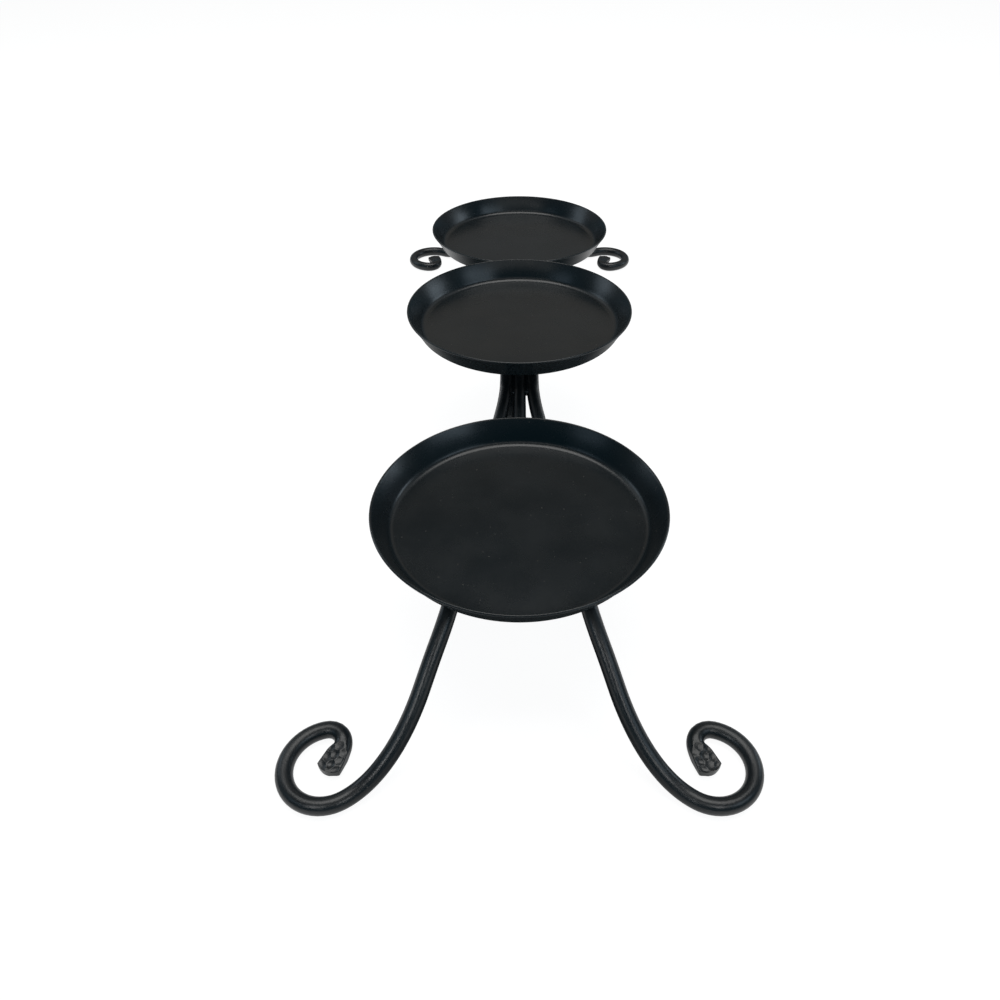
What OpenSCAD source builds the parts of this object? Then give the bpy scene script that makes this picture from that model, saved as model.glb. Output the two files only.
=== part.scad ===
// Low candle stand: three round pans in a row on three bent bars that end in four scroll feet.
// The long axis is Y, the origin is on the table under the middle pan, and all sizes are in millimetres.

/* [Pans] */
// Outside diameter of a pan at its rim
pan_d = 127; // [90:1:150]
// Depth of a pan, from its floor to the top of its rim
pan_depth = 11.2; // [6:0.1:20]
// Lean of the pan wall, in degrees away from upright
wall_lean = 32; // [10:1:45]
// Thickness of the pan's sheet
sheet_t = 1.2; // [0.8:0.1:2.5]
// Inside radius between floor and wall
corner_r = 4; // [1:0.5:5]
// Distance from the middle pan to each outer pan, centre to centre
pan_pitch = 154; // [125:1:200]

/* [Bars] */
// Diameter of the round bar, paint included
bar_d = 7; // [5:0.1:10]
// Gap between bars that lie side by side
bar_gap = 0.2; // [0.1:0.1:1]
// Gap between a bar and the pan that sits on it
seat_gap = 0.1; // [0.05:0.05:0.5]
// Length of the middle bar beyond the centre of an outer pan
spine_reach = 36; // [20:1:45]

/* [Heights] */
// Height of the bars' centre line under the outer pans
deck_h = 49.5; // [35:0.5:80]
// How much higher the bars lie under the middle pan
middle_rise = 14; // [0:0.5:25]
// Distance from the middle at which the bars start to come down from the rise
rise_half = 10; // [8:1:30]
// Distance from the middle at which the bars are level again
rise_foot = 42; // [36:1:90]

/* [Side bars in plan] */
// Half the length over which the three bars lie side by side
parallel_half = 30; // [20:1:50]
// Bend radius where a side bar leaves the middle bar
splay_r = 255; // [100:5:400]
// Direction of a side bar under the outer pans, in degrees from the long axis
splay_a = 7.5; // [4:0.5:14]
// Distance from an outer pan's centre to the shoulder of the leg
shoulder_reach = 31.5; // [20:0.5:45]
// Bend radius of the shoulder, seen from above
shoulder_r = 86; // [50:1:120]
// Direction of the leg below the shoulder
leg_a = 24; // [16:1:35]
// Straight part of the leg
leg_straight = 14; // [5:0.5:30]
// Bend radius of the foot of the leg, seen from above
sweep_r = 73; // [40:1:110]

/* [Scroll feet] */
// Direction of the bar where the scroll starts
scroll_in_a = 59; // [45:1:75]
// Radius of the scroll, at the centre of the bar
scroll_r = 16.5; // [14:0.5:24]
// Direction where the scroll tightens into its curl
curl_in_a = 258; // [240:1:280]
// Radius of the curl
curl_r = 6.7; // [5.5:0.1:9]
// Direction of the straight tip
tip_a = 382; // [360:1:392]
// Length of the straight tip
tip_len = 9; // [6:0.5:12]
// Length over which the bar is beaten flat, up to its end
flare_len = 14; // [8:0.5:18]
// Width of the beaten end
flare_w = 10; // [7:0.1:13]
// Thickness of the beaten end
flare_t = 2.8; // [2:0.1:5]
// How far the middle of the beaten end bulges out past its corners
end_bow = 2; // [0:0.1:4]
// Rounding round the edge of the end
end_edge_r = 0.5; // [0.2:0.1:0.9]

/* [Welds] */
// Radius of one drop of weld under a pan
drop_r = 2.4; // [1.6:0.1:3]
// Distance from one drop to the next along a bead
drop_step = 3.2; // [2:0.1:4]
// Drops in a bead between a bar and a pan
seat_drops = 4; // [2:1:7]
// Ripples in a bead between two bars
crotch_drops = 5; // [2:1:7]
// How far past the start of the splay a bead between two bars begins
crotch_lag = 2; // [0:0.5:12]
// Height of its crown above the line where it meets the bars
crown_h = 0.6; // [0.3:0.1:2]

/* [Hidden] */
$fn = 96;

bar_r = bar_d / 2;
sides = 16;                               // flats round a bar
corner_k = 1 / cos(180 / sides);          // a bar's flats lie at bar_r, its corners a little further out
ring_gap = 7;                             // longest step between two rings of a bar
ring_turn = 10;                           // largest turn between two rings
climb_gap = 1.6;                          // longest step where a bar climbs
fine_gap = 1.5;                           // longest step where a bar changes its section
weld_gap = 0.05;                          // keeps a bead clear of the bars that it joins
fill_low_a = 18;                          // a bead between two bars starts here on their flanks, in degrees
fill_high_a = 52;                         // and climbs to here where it is full
ripple = 0.3;                             // share of the bead's fullness that is lost between two ripples

rim_in_r = pan_d / 2 - sheet_t / 2 * (1 + cos(wall_lean));
floor_r = rim_in_r - (pan_depth - sheet_t / 2 + sheet_t / 2 * sin(wall_lean)) * tan(wall_lean);
pan_base_outer = deck_h + bar_r + seat_gap;            // underside of the outer pans
pan_base_middle = pan_base_outer + middle_rise;
bar_pitch = bar_d + bar_gap;

splay_len = splay_r * splay_a * PI / 180;
splay_end_y = parallel_half + splay_r * sin(splay_a);
run_len = (pan_pitch + shoulder_reach - splay_end_y) / cos(splay_a);

paint = [0.10, 0.11, 0.12];
bead_paint = [0.16, 0.17, 0.18];

// ---------- small helpers ----------

// 0 before the interval and 1 after it, with a smooth climb between
function ease(t) = let (u = min(max(t, 0), 1)) u * u * (3 - 2 * u);
function mix(a, b, t) = a + (b - a) * t;
function total(list, i = 0) = i < len(list) ? list[i][0] + total(list, i + 1) : 0;
function arc(centre, r, from, to, steps) =
    [for (i = [0 : steps]) let (a = mix(from, to, i / steps)) centre + r * [cos(a), sin(a)]];
function power(v, e) = sign(v) * pow(abs(v), e);

// ---------- the bent bars ----------

// A stretch of bar is [length, turn in degrees, longest step]
function straight(length, step = ring_gap) = [length, 0, step];
function bend(r, turn, step = ring_gap) = [r * turn * PI / 180, turn, step];

spine_plan = [
    straight(rise_half, rise_half),
    straight(rise_foot - rise_half, climb_gap),
    straight(pan_pitch + spine_reach - rise_foot, pan_pitch)
];
side_plan = [
    straight(rise_half, rise_half),
    straight(parallel_half - rise_half, climb_gap),
    bend(splay_r, splay_a, climb_gap),
    straight(run_len),
    bend(shoulder_r, leg_a - splay_a),
    straight(leg_straight),
    bend(sweep_r, scroll_in_a - leg_a),
    bend(scroll_r, curl_in_a - scroll_in_a),
    bend(curl_r, tip_a - curl_in_a, fine_gap),
    straight(tip_len - end_edge_r, fine_gap),
    straight(end_edge_r, end_edge_r / 2)
];
shoulder_s = total([for (i = [0 : 3]) side_plan[i]]);
touchdown_s = total([for (i = [0 : 6]) side_plan[i]]);

// Height of a bar's centre at a distance s along its plan, without and with its leg
function deck_z(s) = deck_h + middle_rise * (1 - ease((s - rise_half) / (rise_foot - rise_half)));
function side_z(s) = mix(deck_z(s), bar_r, ease((s - shoulder_s) / (touchdown_s - shoulder_s)));
function bar_z(s, legged) = legged ? side_z(s) : deck_z(s);
function bar_slope(s, legged) = bar_z(s + 0.5, legged) - bar_z(s - 0.5, legged);

// The plan cut into short steps of equal turn, and the stations [x, y, direction, s] at their ends
function steps(plan) = [for (p = plan)
    let (n = max(ceil(p[0] / p[2]), ceil(p[1] / ring_turn)))
    for (i = [1 : n]) [p[0] / n, p[1] / n]];
function chord(step) = step[1] == 0 ? step[0] : step[0] * sin(step[1] / 2) / (step[1] * PI / 360);
function stations(plan, x0) =
    let (list = steps(plan))
    [for (i = 0, x = x0, y = 0, a = 0, s = 0; i <= len(list);
          step = i < len(list) ? list[i] : [0, 0],
          x = x + chord(step) * sin(a + step[1] / 2),
          y = y + chord(step) * cos(a + step[1] / 2),
          a = a + step[1], s = s + step[0], i = i + 1) [x, y, a, s]];

// Section of a bar u millimetres from its end: round, then beaten flat, with a bulging end.
// A point of it is [across, up, how far it is pushed on towards the end]
function end_flat(u) = ease((flare_len - u) / flare_len);
function edge_drop(u) = let (t = max(0, 1 - u / end_edge_r)) end_edge_r * (1 - sqrt(1 - t * t));
function section(u, flared) =
    let (k = flared ? end_flat(u) : 0,
         drop = flared ? edge_drop(u) : 0,
         w = mix(bar_r, flare_w / 2, k) - drop,
         h = mix(bar_r, flare_t / 2, k) - drop,
         e = mix(1, 0.42, k),
         bulge = end_bow * k * k,
         grow = mix(corner_k, 1, k))
    [for (i = [0 : sides - 1])
        let (a = (i + 0.5) * 360 / sides, across = power(cos(a), e))
        [grow * w * across, grow * h * power(sin(a), e), bulge * (1 - across * across)]];

// One ring of points round the station, square to the bar but for the push along it
function ring(pos, dir_a, slope, shape, way = 1) =
    let (side = [cos(dir_a), -sin(dir_a), 0],
         along = [sin(dir_a), cos(dir_a), slope] / norm([1, slope]),
         up = cross(side, along))
    [for (p = shape) pos + side * p[0] + up * p[1] + along * way * (len(p) > 2 ? p[2] : 0)];

// A solid skinned over a row of rings, each end closed by strips that join its upper and lower half
module skin(rings) {
    n = len(rings);
    last = (n - 1) * sides;
    polyhedron(
        points = [for (r = rings) each r],
        faces = concat(
            [for (j = [0 : sides / 2 - 2]) [sides - 1 - j, sides - 2 - j, j + 1, j]],
            [for (j = [0 : sides / 2 - 2]) [for (q = [j, j + 1, sides - 2 - j, sides - 1 - j]) last + q]],
            [for (i = [0 : n - 2], j = [0 : sides - 1])
                let (a = i * sides + j, b = i * sides + (j + 1) % sides)
                each [[a, b, a + sides], [b, b + sides, a + sides]]]),
        convexity = 10);
}

// A bar that is the same on both sides of the middle, swept through its stations
module bent_bar(plan, x0, legged) {
    half = stations(plan, x0);
    last = len(half) - 1;
    bar_len = half[last][3];
    skin([for (i = [-last : last])
        let (st = half[abs(i)], way = i < 0 ? -1 : 1)
        ring([st[0], way * st[1], bar_z(st[3], legged)], way * st[2],
             way * bar_slope(st[3], legged), section(bar_len - st[3], legged), way)]);
}

// Direction and offset of a side bar at a distance s along its plan, up to the shoulder
function side_a(s) = min(max(s - parallel_half, 0), splay_len) / splay_r * 180 / PI;
function side_x(s) =
    bar_pitch + splay_r * (1 - cos(side_a(s))) + max(s - parallel_half - splay_len, 0) * sin(splay_a);

module side_bar() color(paint) bent_bar(side_plan, bar_pitch, true);
module side_bar_right() side_bar();
module side_bar_left() mirror([1, 0, 0]) side_bar();
module spine_bar() color(paint) bent_bar(spine_plan, 0, false);

// ---------- the pans ----------

// Half section of the pan: floor, soft corner, leaning wall and rounded rim
module pan_profile() {
    corner = [floor_r - corner_r * tan((90 - wall_lean) / 2), sheet_t + corner_r];
    rim = [pan_d / 2 - sheet_t / 2, pan_depth + sheet_t / 2];
    polygon(concat(
        [[0, sheet_t]],
        arc(corner, corner_r, -90, -wall_lean, 6),
        arc(rim, sheet_t / 2, 180 - wall_lean, -wall_lean, 8),
        arc(corner, corner_r + sheet_t, -wall_lean, -90, 6),
        [[0, 0]]));
}

module pan() color(paint) rotate_extrude() pan_profile();
module pan_front() translate([0, -pan_pitch, pan_base_outer]) pan();
module pan_middle() translate([0, 0, pan_base_middle]) pan();
module pan_rear() translate([0, pan_pitch, pan_base_outer]) pan();

// ---------- the welds ----------

// Section of a bead that fills the crotch between two bars whose centres are c apart:
// up the flank of one bar, over the crown and down the flank of the other
function crotch_fill(c, full) =
    let (r = (bar_r + weld_gap) * corner_k,
         high_a = mix(fill_low_a, fill_high_a, full),
         flank = [for (i = [0 : 4]) let (a = mix(fill_low_a, high_a, i / 4)) r * [cos(a), sin(a)]],
         half_w = c / 2 - flank[4].x)
    concat(
        [for (p = flank) [c - p.x, p.y]],
        [for (i = [1 : 6]) let (a = i * 180 / 7)
            [c / 2 + half_w * cos(a), flank[4].y + crown_h * full * sin(a)]],
        [for (i = [4 : -1 : 0]) flank[i]]);

// How full the bead is at t, from 0 to 1 along it: tapered at its ends, with a dip between ripples
function fullness(t) =
    mix(0.2, 1, pow(max(sin(180 * t), 0), 0.4)) * (1 - ripple / 2 * (1 + cos(360 * crotch_drops * t)));

// A bead in the crotch between the middle bar and a side bar, where they begin to part
module crotch_bead() {
    rings = 3 * crotch_drops;
    skin([for (i = [0 : rings])
        let (t = i / rings, s = parallel_half + crotch_lag + t * crotch_drops * drop_step)
        ring([0, s, deck_z(s)], 0, bar_slope(s, false), crotch_fill(side_x(s), fullness(t)))]);
}

module spine_welds() {
    color(bead_paint)
        for (mx = [0, 1], my = [0, 1])
            mirror([mx, 0, 0]) mirror([0, my, 0]) crotch_bead();
}

// A bead along one flank of a level bar, under the pan that it carries
module seat_bead(x, y, dir_a, flank, deck) {
    bead_len = seat_drops * drop_step;
    translate([x, y, deck])
        rotate([0, 0, -dir_a])
            difference() {
                for (i = [0 : seat_drops - 1])
                    translate([flank * (bar_r + drop_r / 4), (i - (seat_drops - 1) / 2) * drop_step,
                               bar_r + seat_gap - drop_r / 2])
                        sphere(drop_r);
                rotate([90, 0, 0])
                    cylinder(r = (bar_r + weld_gap) * corner_k, h = 2 * bead_len, center = true);
                translate([-bar_d * 2, -bead_len, bar_r + seat_gap])
                    cube([bar_d * 4, 2 * bead_len, 2 * drop_r]);
            }
}

// Under an outer pan: both flanks of the middle bar and the outer flank of each side bar
module outer_pan_beads() {
    s = splay_len + parallel_half + (pan_pitch - splay_end_y) / cos(splay_a);
    for (side = [-1, 1]) {
        seat_bead(0, pan_pitch, 0, side, deck_h);
        seat_bead(side * side_x(s), pan_pitch, side * splay_a, side, deck_h);
    }
}

module pan_rear_welds() color(bead_paint) outer_pan_beads();
module pan_front_welds() color(bead_paint) mirror([0, 1, 0]) outer_pan_beads();
module pan_middle_welds() {
    color(bead_paint)
        for (side = [-1, 1])
            seat_bead(side * bar_pitch, 0, 0, side, deck_h + middle_rise);
}

pan_front();
pan_middle();
pan_rear();
side_bar_left();
side_bar_right();
spine_bar();
spine_welds();
pan_front_welds();
pan_middle_welds();
pan_rear_welds();
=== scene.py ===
# Low candle stand of black painted iron: the looks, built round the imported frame.
import math
import random

import bmesh
import bpy
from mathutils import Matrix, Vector, noise


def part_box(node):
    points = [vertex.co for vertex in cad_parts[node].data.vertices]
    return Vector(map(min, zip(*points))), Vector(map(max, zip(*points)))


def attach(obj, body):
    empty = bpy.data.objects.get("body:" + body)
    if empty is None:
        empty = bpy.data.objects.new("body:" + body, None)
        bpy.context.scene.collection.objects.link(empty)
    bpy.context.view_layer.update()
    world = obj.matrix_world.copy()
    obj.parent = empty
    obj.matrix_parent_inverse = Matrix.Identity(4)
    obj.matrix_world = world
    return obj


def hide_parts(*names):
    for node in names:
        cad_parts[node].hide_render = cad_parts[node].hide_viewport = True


mm = 0.001

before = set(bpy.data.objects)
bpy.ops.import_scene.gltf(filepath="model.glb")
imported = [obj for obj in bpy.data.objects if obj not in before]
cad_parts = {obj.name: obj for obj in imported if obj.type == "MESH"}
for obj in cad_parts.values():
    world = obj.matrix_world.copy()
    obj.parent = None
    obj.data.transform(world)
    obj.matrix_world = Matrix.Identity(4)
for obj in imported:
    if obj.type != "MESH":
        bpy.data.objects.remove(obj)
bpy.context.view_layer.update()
print("frame loaded")


# helpers that every piece uses

def deselectAll():
    if bpy.context.mode != "OBJECT":
        bpy.ops.object.mode_set(mode="OBJECT")
    bpy.ops.object.select_all(action="DESELECT")


def makeActive(piece):
    deselectAll()
    piece.select_set(True)
    bpy.context.view_layer.objects.active = piece


def newPrimitive(addIt, name, **options):
    deselectAll()
    addIt(**options)
    piece = bpy.context.active_object
    piece.name = name
    piece.data.name = name
    return piece


def applyModifiers(piece):
    makeActive(piece)
    for modifier in list(piece.modifiers):
        bpy.ops.object.modifier_apply(modifier=modifier.name)


def settle(piece):  # puts the place and turn into the mesh
    makeActive(piece)
    bpy.ops.object.transform_apply(location=True, rotation=True, scale=True)


def smoothShade(piece, angle):
    makeActive(piece)
    bpy.ops.object.shade_smooth_by_angle(angle=math.radians(angle))


def roundEdges(piece, angle, width, segments):  # rounds the edges that turn by more than the angle
    rounded = piece.modifiers.new("rounded", "BEVEL")
    rounded.limit_method = "ANGLE"
    rounded.angle_limit = math.radians(angle)
    rounded.width = width
    rounded.segments = segments


def editSelection(piece, mode, wanted):  # in edit mode, selects what passes the test
    if bpy.context.mode != "EDIT_MESH":
        makeActive(piece)
        bpy.ops.object.mode_set(mode="EDIT")
    bpy.ops.mesh.select_mode(type=mode)
    bpy.ops.mesh.select_all(action="DESELECT")
    mesh = bmesh.from_edit_mesh(piece.data)
    for part in {"EDGE": mesh.edges, "FACE": mesh.faces}[mode]:
        if wanted(part):
            part.select_set(True)
    mesh.select_flush_mode()
    bmesh.update_edit_mesh(piece.data)


def moveVerts(piece, moved):  # gives each vertex the place that the rule returns
    bpy.ops.object.mode_set(mode="OBJECT")
    for vert in piece.data.vertices:
        vert.co = moved(vert.co.copy())
    piece.data.update()


def ease(t):
    t = min(max(t, 0), 1)
    return t * t * (3 - 2 * t)


def mix(a, b, t):
    return a + (b - a) * t


def finishPiece(piece, node, material):
    piece.data.materials.clear()
    piece.data.materials.append(material)
    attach(piece, "root")
    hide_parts(node)


# node helpers for the materials and the air

def newMaterial(name, shaderType):
    material = bpy.data.materials.new(name)
    material.use_nodes = True
    tree = material.node_tree
    tree.nodes.clear()
    output = tree.nodes.new("ShaderNodeOutputMaterial")
    shader = tree.nodes.new(shaderType)
    tree.links.new(shader.outputs[0], output.inputs["Surface"])
    return material, shader


def spread(tree, source, low, high, toLow=0, toHigh=1, style="LINEAR"):  # stretches a range over another
    node = tree.nodes.new("ShaderNodeMapRange")
    node.interpolation_type = style
    for name, value in (("From Min", low), ("From Max", high), ("To Min", toLow), ("To Max", toHigh)):
        node.inputs[name].default_value = value
    tree.links.new(source, node.inputs["Value"])
    return node.outputs["Result"]


def blendColours(tree, factor, first, second):  # each colour is a tuple or another node's output
    node = tree.nodes.new("ShaderNodeMix")
    node.data_type = "RGBA"
    tree.links.new(factor, node.inputs["Factor"])
    for name, value in (("A", first), ("B", second)):
        if isinstance(value, tuple):
            node.inputs[name].default_value = (*value, 1)
        else:
            tree.links.new(value, node.inputs[name])
    return node.outputs["Result"]


# paint: satin black powder coat, slightly blue on the walls and bars

def paintMaterial(name, look):
    material, shader = newMaterial(name, "ShaderNodeBsdfPrincipled")
    tree = material.node_tree
    nodes, links = tree.nodes, tree.links
    shader.inputs["Specular IOR Level"].default_value = look["specular"]
    coordinates = nodes.new("ShaderNodeTexCoord")

    def noiseAt(scale, detail):
        texture = nodes.new("ShaderNodeTexNoise")
        texture.inputs["Scale"].default_value = scale
        texture.inputs["Detail"].default_value = detail
        links.new(coordinates.outputs["Object"], texture.inputs["Vector"])
        return texture.outputs["Fac"]

    def bumpOver(height, distance, below=None):
        node = nodes.new("ShaderNodeBump")
        node.inputs["Distance"].default_value = distance
        links.new(height, node.inputs["Height"])
        if below:
            links.new(below, node.inputs["Normal"])
        return node.outputs["Normal"]

    clouds = spread(tree, noiseAt(look["cloudScale"], detail=3), *look["cloudRange"])
    colour = blendColours(tree, clouds, look["dark"], look["light"])

    cells = nodes.new("ShaderNodeTexVoronoi")  # dust caught in the paint: some cells hold a small speck
    cells.inputs["Scale"].default_value = look["speckScale"]
    links.new(coordinates.outputs["Object"], cells.inputs["Vector"])
    chosen = nodes.new("ShaderNodeSeparateColor")
    links.new(cells.outputs["Color"], chosen.inputs["Color"])
    speckSize = spread(tree, chosen.outputs["Red"], 1 - look["speckShare"], 1, 0, look["speckSize"])
    isSpeck = nodes.new("ShaderNodeMath")
    isSpeck.operation = "LESS_THAN"
    links.new(cells.outputs["Distance"], isSpeck.inputs[0])
    links.new(speckSize, isSpeck.inputs[1])
    colour = blendColours(tree, isSpeck.outputs["Value"], colour, look["speck"])
    links.new(colour, shader.inputs["Base Color"])

    streaks = noiseAt(look["roughScale"], detail=4)
    roughness = spread(tree, streaks, *look["roughRange"], look["smooth"], look["rough"])
    links.new(roughness, shader.inputs["Roughness"])

    waves = bumpOver(noiseAt(look["waveScale"], detail=1), look["waveDepth"])
    peel = bumpOver(noiseAt(look["peelScale"], detail=2), look["peelDepth"], waves)
    grains = bumpOver(isSpeck.outputs["Value"], look["speckDepth"], peel)
    links.new(grains, shader.inputs["Normal"])
    return material


panLook = {
    "dark": (0.0050, 0.0088, 0.0108), "light": (0.0074, 0.0116, 0.0138),
    "specular": 0.5, "cloudScale": 38, "cloudRange": (0.35, 0.65),
    "speck": (0.042, 0.042, 0.039), "speckScale": 400, "speckShare": 0.45, "speckSize": 0.14,
    "speckDepth": 1.5e-5,
    "smooth": 0.23, "rough": 0.30, "roughScale": 60, "roughRange": (0.3, 0.7),
    "waveScale": 45, "waveDepth": 5e-5, "peelScale": 1500, "peelDepth": 1.0e-5,
}
barLook = dict(
    panLook,
    dark=(0.0060, 0.0084, 0.0100), light=(0.0096, 0.0124, 0.0142), smooth=0.26, rough=0.36,
    waveScale=110, waveDepth=6e-5, peelDepth=5e-5, speckShare=0.22,
)
weldLook = dict(barLook, smooth=0.32, rough=0.45, waveScale=500, waveDepth=4e-5)

panPaint = paintMaterial("panPaint", panLook)
barPaint = paintMaterial("barPaint", barLook)
weldPaint = paintMaterial("weldPaint", weldLook)
print("paints mixed")


# pans: a small disc whose edge is extruded ring by ring along the section

panShape = {
    "rimR": 63.5 * mm, "depth": 11.12 * mm, "sheet": 1.2 * mm, "lean": 32, "corner": 4 * mm,
    "around": 160, "hubR": 4 * mm, "floorRings": 14, "cornerRings": 8, "wallRings": 10,
    "drawIn": 0.22 * mm,  # the wall is a little hollow between floor and rim
    "floorWave": 0.10 * mm, "floorWaveLength": 42 * mm, "floorWaveFade": 8 * mm,
    "rimAngle": 60, "rimRound": 0.5 * mm, "rimSteps": 5, "smoothAngle": 50,
}


def panSection(shape):  # the middle of the sheet, from the hub out to the rim, as (radius, height)
    lean = math.radians(shape["lean"])
    half = shape["sheet"] / 2
    rim = Vector((shape["rimR"] - half, shape["depth"] + half))
    along = Vector((math.sin(lean), math.cos(lean)))
    cornerR = shape["corner"] + half
    # the wall's line meets the floor's line here; the corner's arc ends short of it on both sides
    meet = rim.x - (rim.y - half) * math.tan(lean)
    back = cornerR * math.tan(math.radians(90 - shape["lean"]) / 2)
    centre = Vector((meet - back, half + cornerR))
    section = []
    for i in range(1, shape["floorRings"] + 1):
        section.append(Vector((mix(shape["hubR"], centre.x, i / shape["floorRings"]), half)))
    for i in range(1, shape["cornerRings"] + 1):
        a = math.radians(mix(-90, -shape["lean"], i / shape["cornerRings"]))
        section.append(centre + cornerR * Vector((math.cos(a), math.sin(a))))
    foot, top = section[-1], rim + along * half
    for i in range(1, shape["wallRings"] + 1):
        t = i / shape["wallRings"]
        hollow = shape["drawIn"] * math.sin(math.pi * t)
        section.append(foot.lerp(top, t) + Vector((-math.cos(lean), math.sin(lean))) * hollow)
    return section


def makePan(name, node, seed):
    low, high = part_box(node)
    centre = Vector(((low.x + high.x) / 2, (low.y + high.y) / 2, low.z))
    level = panShape["sheet"] / 2
    pan = newPrimitive(
        bpy.ops.mesh.primitive_circle_add, name, vertices=panShape["around"], radius=panShape["hubR"],
        fill_type="TRIFAN", location=(centre.x, centre.y, centre.z + level))
    settle(pan)
    bpy.ops.object.mode_set(mode="EDIT")
    bpy.ops.mesh.select_mode(type="EDGE")
    bpy.ops.mesh.select_all(action="DESELECT")
    bpy.ops.mesh.select_non_manifold(
        extend=False, use_wire=False, use_boundary=True, use_multi_face=False,
        use_non_contiguous=False, use_verts=False)
    was = Vector((panShape["hubR"], level))
    for spot in panSection(panShape):
        k = spot.x / was.x
        bpy.ops.mesh.extrude_edges_move()
        bpy.ops.transform.resize(value=(k, k, 1), center_override=centre)
        bpy.ops.transform.translate(value=(0, 0, spot.y - was.y))
        was = spot
    bpy.ops.mesh.select_all(action="SELECT")
    bpy.ops.mesh.normals_make_consistent(inside=False)

    def pressed(co):  # thin pressed sheet is never quite flat
        flat = ease((panShape["rimR"] - (co.xy - centre.xy).length) / panShape["floorWaveFade"])
        wave = noise.noise(Vector((co.x, co.y, seed)) / panShape["floorWaveLength"])
        co.z += panShape["floorWave"] * wave * flat
        return co

    moveVerts(pan, pressed)
    thicken = pan.modifiers.new("sheet", "SOLIDIFY")
    thicken.thickness = panShape["sheet"]
    thicken.offset = 0
    thicken.use_even_offset = True
    roundEdges(pan, panShape["rimAngle"], panShape["rimRound"], panShape["rimSteps"])
    applyModifiers(pan)
    smoothShade(pan, panShape["smoothAngle"])
    finishPiece(pan, node, panPaint)


makePan("front_pan", "pan_front", seed=0.3)
makePan("middle_pan", "pan_middle", seed=1.7)
makePan("rear_pan", "pan_rear", seed=3.1)
print("pans pressed")


# bars: made straight, hammered out at the ends, then bent along their path

heights = {"deck": 49.5, "rise": 14, "riseHalf": 10, "riseFoot": 42, "foot": 3.5}
# millimetres and degrees: a straight's length, how far along the row a reach gets, a bend's radius and turn
sideBends = [
    ("straight", 30), ("bend", 255, 7.5), ("reach", 185.5), ("bend", 86, 16.5), ("straight", 14),
    ("bend", 73, 35), ("bend", 16.5, 199), ("bend", 6.7, 124), ("straight", 9),
]
barShape = {
    "r": 3.485 * mm,  # a little under 3.5, so that the wander keeps within it
    "pitch": 7.2, "spineHalf": 190, "around": 64, "ringCuts": (19, 19), "squareWithin": 0.1 * mm,
    "tipZone": 17 * mm, "tipCuts": 1, "tipRingCuts": 3,
    "flareLength": 15 * mm, "flareWidth": 10 * mm, "flareThick": 2.8 * mm,
    "endBow": 2.0 * mm, "edgeR": 0.5 * mm, "edgeHaste": 1.5,
    "blowRow": 3.3 * mm, "blowColumn": 3.0 * mm, "blowColumns": 3, "blowRows": 4,
    "blowR": 1.85 * mm, "blowDepth": 0.50 * mm, "blowJitter": 0.40 * mm,
    "blowStart": 0.35, "blowSizes": (0.85, 1.1), "blowForces": (0.55, 1.0),
    "dentHaste": 1.8, "dentMargin": 1 / 6,  # how soon the dents deepen, and the edge they fade over
    "wander": 0.015 * mm, "wanderLength": 22 * mm, "wanderAcross": 9 * mm,
    "endAngle": 50, "endRounding": 0.35 * mm, "endSteps": 3, "smoothAngle": 45,
}


def deckHeight(s):
    climb = ease((s - heights["riseHalf"]) / (heights["riseFoot"] - heights["riseHalf"]))
    return heights["deck"] + heights["rise"] * (1 - climb)


def halfPath(bends, startX):  # (x, y, s) in millimetres from the middle of the stand to the tip
    x, y, turned, s = startX, 0, 0, 0
    spots, marks = [(x, y, s)], []
    for bend in bends:
        turn = 0
        if bend[0] == "straight":
            length = bend[1]
        elif bend[0] == "reach":
            length = (bend[1] - y) / math.cos(math.radians(turned))
        else:
            turn = bend[2]
            length = bend[1] * math.radians(turn)
        count = math.ceil(length)
        for _ in range(count):
            half = turn / count / 2
            chord = length / count * (math.sin(math.radians(half)) / math.radians(half) if half else 1)
            x += chord * math.sin(math.radians(turned + half))
            y += chord * math.cos(math.radians(turned + half))
            turned += 2 * half
            s += length / count
            spots.append((x, y, s))
        marks.append(s)
    return spots, marks


def sidePath(side):
    spots, marks = halfPath(sideBends, barShape["pitch"])
    shoulder, touchdown = marks[2], marks[5]  # where the reach ends and where the scroll starts
    half = []
    for x, y, s in spots:
        z = mix(deckHeight(s), heights["foot"], ease((s - shoulder) / (touchdown - shoulder)))
        half.append(Vector((side * x, y, z)) * mm)
    return [Vector((p.x, -p.y, p.z)) for p in reversed(half[1:])] + half


def spinePath():
    half = [Vector((0, i, deckHeight(i))) * mm for i in range(barShape["spineHalf"] + 1)]
    return [Vector((p.x, -p.y, p.z)) for p in reversed(half[1:])] + half


def pathLength(path):
    return sum((b - a).length for a, b in zip(path, path[1:]))


def fromEnd(x, length):
    return min(x, length - x)


def runsAlong(edge):  # the other edges lie square across the bar
    return abs(edge.verts[0].co.x - edge.verts[1].co.x) > barShape["squareWithin"]


def straightBar(name, length):
    bar = newPrimitive(
        bpy.ops.mesh.primitive_cylinder_add, name, vertices=barShape["around"], radius=barShape["r"],
        depth=length, end_fill_type="NOTHING", location=(length / 2, 0, 0), rotation=(0, math.pi / 2, 0))
    settle(bar)
    for start in (True, False):
        editSelection(bar, "EDGE", lambda e: e.is_boundary and (e.verts[0].co.x < length / 2) == start)
        bpy.ops.mesh.fill_grid(span=barShape["around"] // 4)
    for cuts in barShape["ringCuts"]:
        editSelection(bar, "EDGE", runsAlong)
        bpy.ops.mesh.subdivide(number_cuts=cuts)
    return bar


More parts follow.
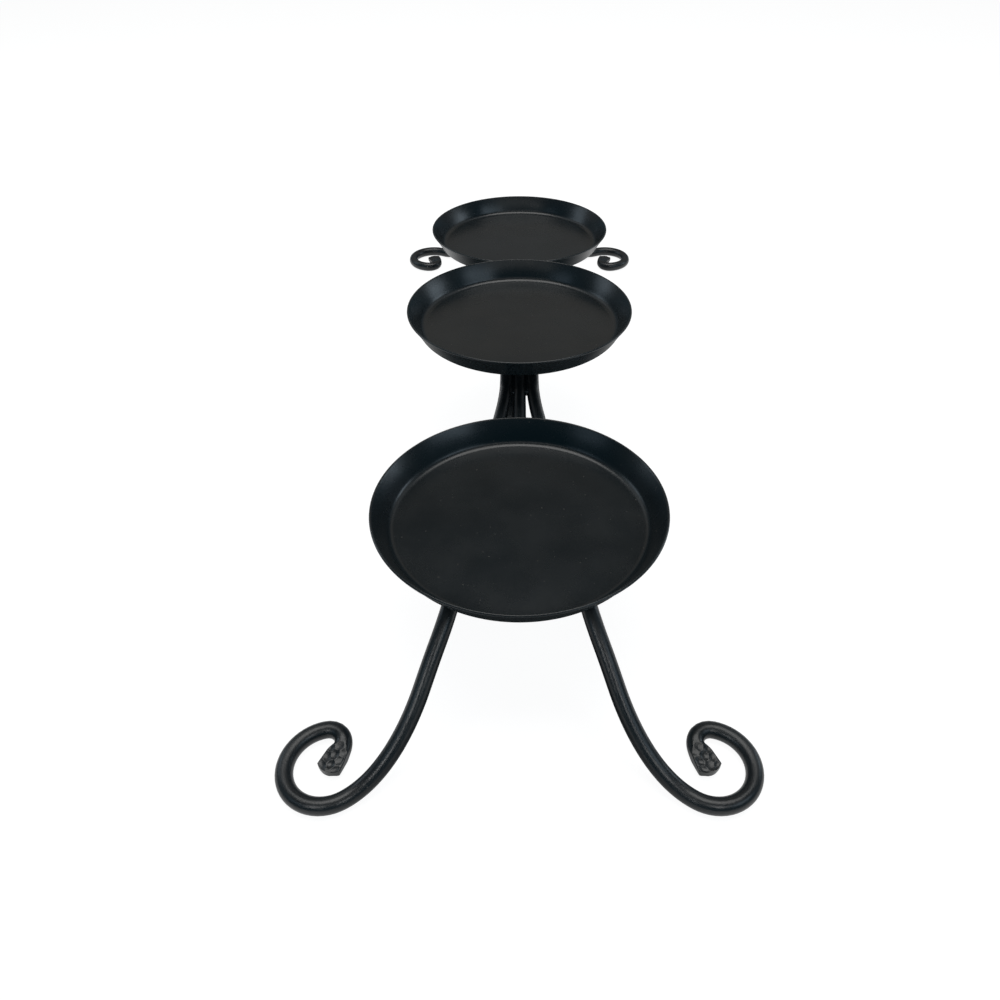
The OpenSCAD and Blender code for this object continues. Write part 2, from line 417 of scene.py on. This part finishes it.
def flatOutline(turn, wide, thick, edge):  # a rounded rectangle's outline, walked evenly as the angle turns
    quarter, share = divmod(turn / (math.pi / 2), 1)
    if quarter % 2:
        share = 1 - share
    run = share * (thick - edge + edge * math.pi / 2 + wide - edge)
    around = (run - (thick - edge)) / edge
    if around < 0:
        y, z = wide, run
    elif around < math.pi / 2:
        y, z = wide - edge + edge * math.cos(around), thick - edge + edge * math.sin(around)
    else:
        y, z = wide - edge - (around - math.pi / 2) * edge, thick
    return (-y if quarter in (1, 2) else y), (-z if quarter in (2, 3) else z)


def hammerEnds(bar, length, seed):  # spreads both ends into fishtails and leaves the hammer's marks on them
    shape = barShape

    def inTip(part):
        return all(fromEnd(v.co.x, length) < shape["tipZone"] for v in part.verts)

    editSelection(bar, "FACE", inTip)
    bpy.ops.mesh.subdivide(number_cuts=shape["tipCuts"])
    editSelection(bar, "EDGE", lambda e: inTip(e) and runsAlong(e))
    bpy.ops.mesh.subdivide(number_cuts=shape["tipRingCuts"])
    random.seed(seed)
    blows = {}
    for end in (0, 1):
        for face in (0, 1):
            marks = []
            for i in range(shape["blowRows"]):
                for j in range(shape["blowColumns"]):
                    along = (i + shape["blowStart"] + 0.5 * (j % 2)) * shape["blowRow"]
                    across = (j - (shape["blowColumns"] - 1) / 2) * shape["blowColumn"]
                    marks.append((
                        along + random.uniform(-1, 1) * shape["blowJitter"],
                        across + random.uniform(-1, 1) * shape["blowJitter"],
                        random.uniform(*shape["blowSizes"]) * shape["blowR"],
                        random.uniform(*shape["blowForces"])))
            blows[end, face] = marks

    def hammered(co):
        end = 0 if co.x < length / 2 else 1
        u = fromEnd(co.x, length)
        if u > shape["flareLength"]:
            return co
        k = ease((shape["flareLength"] - u) / shape["flareLength"])
        out = math.hypot(co.y, co.z) / shape["r"]
        width = mix(shape["r"], shape["flareWidth"] / 2, k)
        thick = mix(shape["r"], shape["flareThick"] / 2, k)
        edge = mix(shape["r"], shape["edgeR"], ease(k * shape["edgeHaste"]))
        y, z = flatOutline(math.atan2(co.z, co.y) % (2 * math.pi), width, thick, edge)
        y, z = y * out, z * out
        dip = 0
        for along, across, size, force in blows[end, 0 if z > 0 else 1]:
            near = ((u - along) ** 2 + (y - across) ** 2) / size ** 2
            if near < 1:
                dip = max(dip, shape["blowDepth"] * force * (1 - near))
        inside = min(1, max(0, 1 - abs(y) / width) / shape["dentMargin"]) * min(1, abs(z) / thick)
        z -= math.copysign(dip * min(1, k * shape["dentHaste"]) * inside, z)
        bulge = shape["endBow"] * k * k * (1 - (y / width) ** 2)
        return Vector((co.x + (-bulge if end == 0 else bulge), y, z))

    moveVerts(bar, hammered)


def wander(bar, seed):  # drawn bar under paint is never quite even
    def moved(co):
        across = barShape["wanderAcross"]
        spot = Vector((co.x / barShape["wanderLength"], co.y / across + seed, co.z / across))
        push = 1 + barShape["wander"] / barShape["r"] * noise.noise(spot)
        return Vector((co.x, co.y * push, co.z * push))

    moveVerts(bar, moved)


def bendAlong(bar, path):
    curve = bpy.data.curves.new(bar.name + "_path", "CURVE")
    curve.dimensions = "3D"
    curve.twist_mode = "Z_UP"
    line = curve.splines.new("POLY")
    line.points.add(len(path) - 1)
    for point, spot in zip(line.points, path):
        point.co = (*spot, 1)
    guide = bpy.data.objects.new(curve.name, curve)
    bpy.context.collection.objects.link(guide)
    bent = bar.modifiers.new("bend", "CURVE")
    bent.object = guide
    bent.deform_axis = "POS_X"
    applyModifiers(bar)
    bpy.data.objects.remove(guide)
    bpy.data.curves.remove(curve)


def makeBar(name, node, path, seed, forged):
    length = pathLength(path)
    bar = straightBar(name, length)
    if forged:
        hammerEnds(bar, length, seed)
    bpy.ops.object.mode_set(mode="OBJECT")
    roundEdges(bar, barShape["endAngle"], barShape["endRounding"], barShape["endSteps"])
    applyModifiers(bar)
    wander(bar, seed)
    bendAlong(bar, path)
    smoothShade(bar, barShape["smoothAngle"])
    finishPiece(bar, node, barPaint)
    print(name, len(bar.data.polygons), "faces")


makeBar("left_bar", "side_bar_left", sidePath(-1), seed=3, forged=True)
makeBar("right_bar", "side_bar_right", sidePath(1), seed=8, forged=True)
makeBar("middle_bar", "spine_bar", spinePath(), seed=5, forged=False)
print("bars bent")


# welds: drops of metal melted into one another

weldShape = {
    "crotchFrom": 32.3, "crotchTo": 47.7, "crotchStep": 1.4, "crotchR": 1.9, "crotchTop": 3.1,
    "crotchInset": 1.8,
    "longRunTo": 74, "longRunTop": 2.5,  # front left, filled until the front pan's rim hides it
    "crotchSizes": (0.86, 1.06), "crotchSway": (-0.25, 0.25), "crotchTops": (-0.35, 0.15),
    "seatLength": 12.4, "seatStep": 1.9, "seatR": 2.1, "seatOut": 4.1, "seatTop": 3.4, "panY": 154,
    "seatSizes": (0.82, 1.0), "seatSway": (-0.2, 0.2),
    "crotchSeed": 21, "outerSeed": 30, "middleSeed": 40,
    "dropSegments": 20, "dropRings": 12, "voxel": 0.22 * mm,
    "softness": 0.5, "softPasses": 5, "smoothAngle": 80,
}


def sideOffset(s):  # how far out a side bar is at s, up to the end of its reach
    spots, _ = halfPath(sideBends[:3], barShape["pitch"])
    for (x0, y0, s0), (x1, y1, s1) in zip(spots, spots[1:]):
        if s0 <= s <= s1:
            return mix(x0, x1, (s - s0) / (s1 - s0))
    return spots[-1][0]


def meltDrops(name, node, drops):  # drops are (x, y, z, r) in millimetres
    made = []
    for x, y, z, r in drops:
        drop = newPrimitive(
            bpy.ops.mesh.primitive_uv_sphere_add, name, segments=weldShape["dropSegments"],
            ring_count=weldShape["dropRings"], radius=r * mm, location=Vector((x, y, z)) * mm)
        made.append(drop)
    first = made[0]
    makeActive(first)
    for drop in made:
        drop.select_set(True)
    bpy.ops.object.join()
    settle(first)
    melted = first.modifiers.new("melt", "REMESH")
    melted.mode = "VOXEL"
    melted.voxel_size = weldShape["voxel"]
    eased = first.modifiers.new("soften", "SMOOTH")
    eased.factor = weldShape["softness"]
    eased.iterations = weldShape["softPasses"]
    applyModifiers(first)
    smoothShade(first, weldShape["smoothAngle"])
    finishPiece(first, node, weldPaint)


def dropPlaces(low, high, step):  # places from low to high, about a step apart
    count = round((high - low) / step)
    return [mix(low, high, i / count) for i in range(count + 1)]


def crotchDrops():  # low beads that fill the crotch up to about the top of the bars
    random.seed(weldShape["crotchSeed"])
    drops = []
    for side in (-1, 1):
        for way in (-1, 1):
            longRun = side < 0 and way < 0
            inset = weldShape["crotchInset"]
            far = weldShape["longRunTo"] if longRun else weldShape["crotchTo"]
            for s in dropPlaces(weldShape["crotchFrom"] + inset, far - inset, weldShape["crotchStep"]):
                r = weldShape["crotchR"] * random.uniform(*weldShape["crotchSizes"])
                x = side * (sideOffset(s) / 2 + random.uniform(*weldShape["crotchSway"]))
                top = weldShape["longRunTop" if s > weldShape["crotchTo"] else "crotchTop"]
                top += random.uniform(*weldShape["crotchTops"])
                drops.append((x, way * s, deckHeight(s) + top - r, r))
    return drops


def seatDrops(x, y, flank, z):  # along one flank of a bar, just under the pan above it
    drops = []
    half = weldShape["seatLength"] / 2 - weldShape["seatR"]
    for along in dropPlaces(-half, half, weldShape["seatStep"]):
        r = weldShape["seatR"] * random.uniform(*weldShape["seatSizes"])
        out = weldShape["seatOut"] + random.uniform(*weldShape["seatSway"])
        drops.append((x + flank * out, y + along, z + weldShape["seatTop"] - r, r))
    return drops


def outerPanDrops(way):
    random.seed(weldShape["outerSeed"] + way)
    drops = []
    out = sideOffset(weldShape["panY"])
    for side in (-1, 1):
        drops += seatDrops(0, way * weldShape["panY"], side, heights["deck"])
        drops += seatDrops(side * out, way * weldShape["panY"], side, heights["deck"])
    return drops


def middlePanDrops():
    random.seed(weldShape["middleSeed"])
    drops = []
    for side in (-1, 1):
        drops += seatDrops(side * barShape["pitch"], 0, side, heights["deck"] + heights["rise"])
    return drops


meltDrops("spine_beads", "spine_welds", crotchDrops())
meltDrops("front_pan_beads", "pan_front_welds", outerPanDrops(-1))
meltDrops("middle_pan_beads", "pan_middle_welds", middlePanDrops())
meltDrops("rear_pan_beads", "pan_rear_welds", outerPanDrops(1))
print("welds melted")


# floor, light and camera

studio = {
    "floorSize": 12, "floorColour": (0.20, 0.20, 0.20), "floorRoughness": 0.9, "floorGlow": 0.935,
    "backdrop": (0.80, 0.81, 0.82),
    # how high the direction points, from -1 (down) to 1 (up), and the colour on the near and far side
    "air": [
        (-1.00, (0.000, 0.045, 0.075), (0.070, 0.125, 0.165)),
        (0.05, (0.000, 0.045, 0.075), (0.070, 0.125, 0.165)),
        (0.25, (0.000, 0.050, 0.080), (0.120, 0.140, 0.155)),
        (0.35, (0.000, 0.050, 0.080), (0.212, 0.202, 0.192)),
        (0.57, (0.000, 0.050, 0.080), (0.208, 0.196, 0.184)),
        (0.64, (0.020, 0.060, 0.090), (0.095, 0.090, 0.085)),
        (0.71, (0.050, 0.070, 0.090), (0.040, 0.040, 0.040)),
        (0.90, (0.050, 0.060, 0.070), (0.200, 0.205, 0.210)),
        (1.00, (0.100, 0.105, 0.110), (0.200, 0.205, 0.210)),
    ],
    # glow of the table seen in reflections, lit outside and dimmed in the painted shadow under the stand
    "tableLit": 0.88, "tableShaded": 0.02, "tableDrop": 0.5 * mm,
    "shadowHalf": (0.088, 0.300), "shadowFade": (0.75, 1.35),
    "farShare": (-0.3, 0.5),  # where the air turns from its near colours to its far ones
    # name: direction and height in degrees, distance and size in metres, brightness, tint
    "lamps": {
        "ceiling": (90, 85, 1.5, (1.40, 0.87), 3.1, (1.0, 0.99, 0.97)),
        "leftSpot": (-110.5, 25, 0.63, (0.11, 0.12), 6.4, (1.0, 1.0, 1.0)),
        "rightSpot": (-76, 26, 0.60, (0.11, 0.12), 4.5, (1.0, 1.0, 1.0)),
        "nearWall": (-90, 51, 1.5, (1.70, 0.25), 0.80, (1.0, 1.0, 0.97)),
        "farWall": (90, 33, 2.2, (2.6, 0.40), 0.14, (1.15, 1.0, 0.80)),
        "rightWindow": (18, 19, 1.2, (0.40, 0.34), 2.2, (0.84, 1.0, 1.14)),
        "rightFront": (-38, 34, 1.3, (0.66, 0.38), 1.45, (0.82, 1.0, 1.16)),
        "leftWindow": (161, 24, 1.33, (0.42, 0.46), 1.4, (0.82, 1.0, 1.16)),
        "leftFront": (-143, 29, 1.3, (0.46, 0.30), 0.8, (0.78, 1.0, 1.22)),
        "leftSky": (142, 43, 1.7, (0.90, 0.80), 0.55, (0.92, 1.0, 1.06)),
        "rightSky": (38, 43, 1.7, (0.90, 0.80), 0.35, (0.92, 1.0, 1.06)),
    },
    "aimHeight": 0.06, "barLamps": ("leftSpot", "rightSpot"),  # these two reach the bars alone
}


def makeFloor():
    floor = newPrimitive(bpy.ops.mesh.primitive_plane_add, "floor", size=studio["floorSize"])
    material, shader = newMaterial("paleFloor", "ShaderNodeBsdfPrincipled")
    shader.inputs["Base Color"].default_value = (*studio["floorColour"], 1)
    shader.inputs["Roughness"].default_value = studio["floorRoughness"]
    shader.inputs["Specular IOR Level"].default_value = 0.0
    shader.inputs["Emission Color"].default_value = (1, 1, 1, 1)
    shader.inputs["Emission Strength"].default_value = studio["floorGlow"]
    floor.data.materials.append(material)
    floor.visible_glossy = False  # the paint mirrors the table below instead of the glowing floor


def makeTable():  # seen only in the paint's reflections: a glowing pale table, with a painted shadow under the stand
    table = newPrimitive(
        bpy.ops.mesh.primitive_plane_add, "table", size=studio["floorSize"],
        location=(0, 0, -studio["tableDrop"]))
    material, glow = newMaterial("shadedTable", "ShaderNodeEmission")
    tree = material.node_tree
    nodes, links = tree.nodes, tree.links
    coordinates = nodes.new("ShaderNodeTexCoord")
    squeezed = nodes.new("ShaderNodeVectorMath")
    squeezed.operation = "DIVIDE"
    squeezed.inputs[1].default_value = (*studio["shadowHalf"], 1)
    links.new(coordinates.outputs["Object"], squeezed.inputs[0])
    away = nodes.new("ShaderNodeVectorMath")
    away.operation = "LENGTH"
    links.new(squeezed.outputs["Vector"], away.inputs[0])
    # painted shadow: the table's glow fades down inside an oval under the stand
    strength = spread(
        tree, away.outputs["Value"], *studio["shadowFade"],
        studio["tableShaded"], studio["tableLit"], "SMOOTHSTEP")
    links.new(strength, glow.inputs["Strength"])
    table.data.materials.append(material)
    table.visible_camera = False
    table.visible_diffuse = False
    table.visible_shadow = False
    table.visible_transmission = False


def gatherBars():
    bars = bpy.data.collections.new("bars")
    for name in ("left_bar", "right_bar", "middle_bar"):
        bars.objects.link(bpy.data.objects[name])
    return bars


def makeLamps(bars):
    for name, (turn, height, distance, size, brightness, tint) in studio["lamps"].items():
        light = bpy.data.lights.new(name, "AREA")
        light.shape = "RECTANGLE"
        light.size, light.size_y = size
        light.energy = brightness * math.pi * size[0] * size[1]
        light.color = tint
        lamp = bpy.data.objects.new(name, light)
        bpy.context.collection.objects.link(lamp)
        level = math.cos(math.radians(height))
        away = Vector((
            level * math.cos(math.radians(turn)), level * math.sin(math.radians(turn)),
            math.sin(math.radians(height))))
        lamp.visible_camera = False
        lamp.location = Vector((0, 0, studio["aimHeight"])) + away * distance
        lamp.rotation_euler = away.to_track_quat("Z", "Y").to_euler()
        if name in studio["barLamps"]:
            lamp.light_linking.receiver_collection = bars


def makeAir():  # a dim bluish room with a warmer far side
    world = bpy.data.worlds.new("studioAir")
    world.use_nodes = True
    tree = world.node_tree
    nodes, links = tree.nodes, tree.links
    direction = nodes.new("ShaderNodeTexCoord")
    split = nodes.new("ShaderNodeSeparateXYZ")
    links.new(direction.outputs["Generated"], split.inputs["Vector"])
    height = spread(tree, split.outputs["Z"], -1, 1)
    sides = []
    for side in (1, 2):
        ramp = nodes.new("ShaderNodeValToRGB")
        stops = ramp.color_ramp.elements
        for level in studio["air"]:
            place = (level[0] + 1) / 2
            stop = stops[0] if place == 0 else stops[-1] if place == 1 else stops.new(place)
            stop.color = (*level[side], 1)
        links.new(height, ramp.inputs["Fac"])
        sides.append(ramp.outputs["Color"])
    farness = spread(tree, split.outputs["Y"], *studio["farShare"])
    room = blendColours(tree, farness, *sides)
    # a pale wall is seen, and the dim room is only mirrored in the paint
    rays = nodes.new("ShaderNodeLightPath")
    shown = blendColours(tree, rays.outputs["Is Camera Ray"], room, studio["backdrop"])
    links.new(shown, nodes["Background"].inputs["Color"])
    bpy.context.scene.world = world


photoView = {
    "place": (0, -0.3983, 0.2774), "down": 40.8,
    "sensor": 36, "lens": 27.36, "shift": -0.0194, "nearest": 0.01,
}


def makeCamera():
    camera = bpy.data.cameras.new("camera")
    camera.sensor_width = photoView["sensor"]
    camera.lens = photoView["lens"]
    camera.shift_x = photoView["shift"]
    camera.clip_start = photoView["nearest"]
    holder = bpy.data.objects.new("camera", camera)
    bpy.context.collection.objects.link(holder)
    holder.location = photoView["place"]
    holder.rotation_euler = (math.radians(90 - photoView["down"]), 0, 0)
    bpy.context.scene.camera = holder


makeFloor()
makeTable()
makeLamps(gatherBars())
makeAir()
makeCamera()
bpy.context.scene.view_settings.view_transform = "Standard"
print("studio lit")
